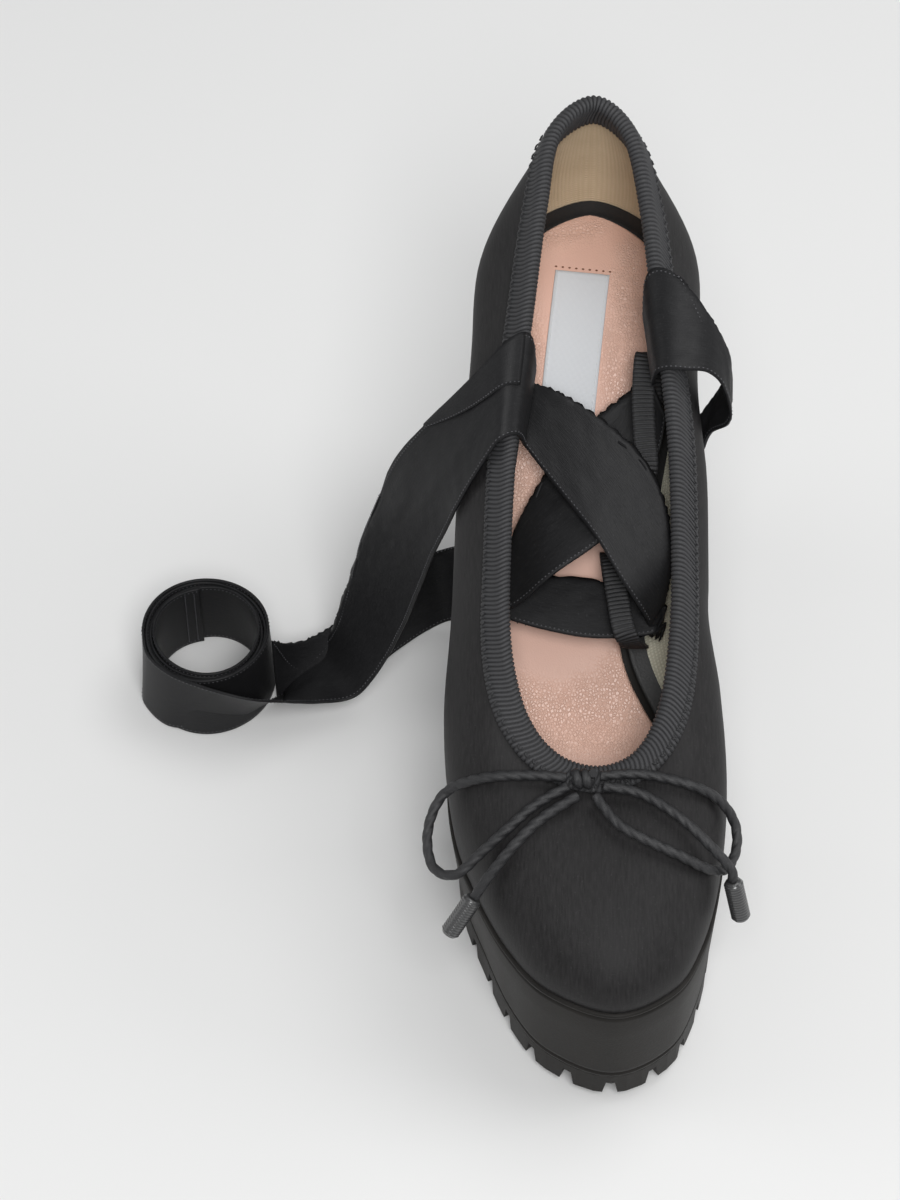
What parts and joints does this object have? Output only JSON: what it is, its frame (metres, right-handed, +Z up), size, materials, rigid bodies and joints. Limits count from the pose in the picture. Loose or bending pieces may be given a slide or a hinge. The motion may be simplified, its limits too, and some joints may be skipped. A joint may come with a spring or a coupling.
{
  "type": "platform_pump",
  "caption": "Right women's platform pump: hollow satin upper with a low round topline, moulded platform with lugged tread, high block heel, padded insole.",
  "frame": {"origin": "Middle of the shoe's box, on the floor under it.", "axes": "+Z up, toe towards -Y, heel towards +Y, medial (big toe) side towards +X."},
  "size_m": [0.1807, 0.2296, 0.1831],
  "materials": {
    "black_satin": "woven satin with a soft sheen",
    "platform_rubber": "smooth matte moulded rubber",
    "insole_leather": "creased nude pink leather with a soft shine",
    "black_grosgrain": "ribbed grosgrain tape",
    "ribbon_satin": "satin ribbon with stitched edges",
    "bow_cord": "twisted satin cord",
    "aglet_lacquer": "glossy lacquered wrap",
    "label_white": "white woven label, bare"
  },
  "bodies": {
    "root": {"upper": "black_satin", "platform_sole": "platform_rubber", "insole": "insole_leather", "tread_forefoot": "platform_rubber", "heel_block": "platform_rubber", "tread_heel": "platform_rubber", "topline_binding": "black_grosgrain", "loop_medial_front": "black_grosgrain", "loop_lateral_front": "black_grosgrain", "loop_medial_back": "black_grosgrain", "loop_lateral_back": "black_grosgrain", "insole_label": "label_white", "ribbon_lacing": "ribbon_satin", "ribbon_tail_left": "ribbon_satin", "ribbon_tail_right": "ribbon_satin", "ribbon_roll": "ribbon_satin", "bow_knot": "bow_cord", "bow_loop_left": "bow_cord", "bow_loop_right": "bow_cord", "bow_end_left": "bow_cord", "bow_end_right": "bow_cord", "aglet_left": "aglet_lacquer", "aglet_right": "aglet_lacquer"}
  },
  "joints": []
}
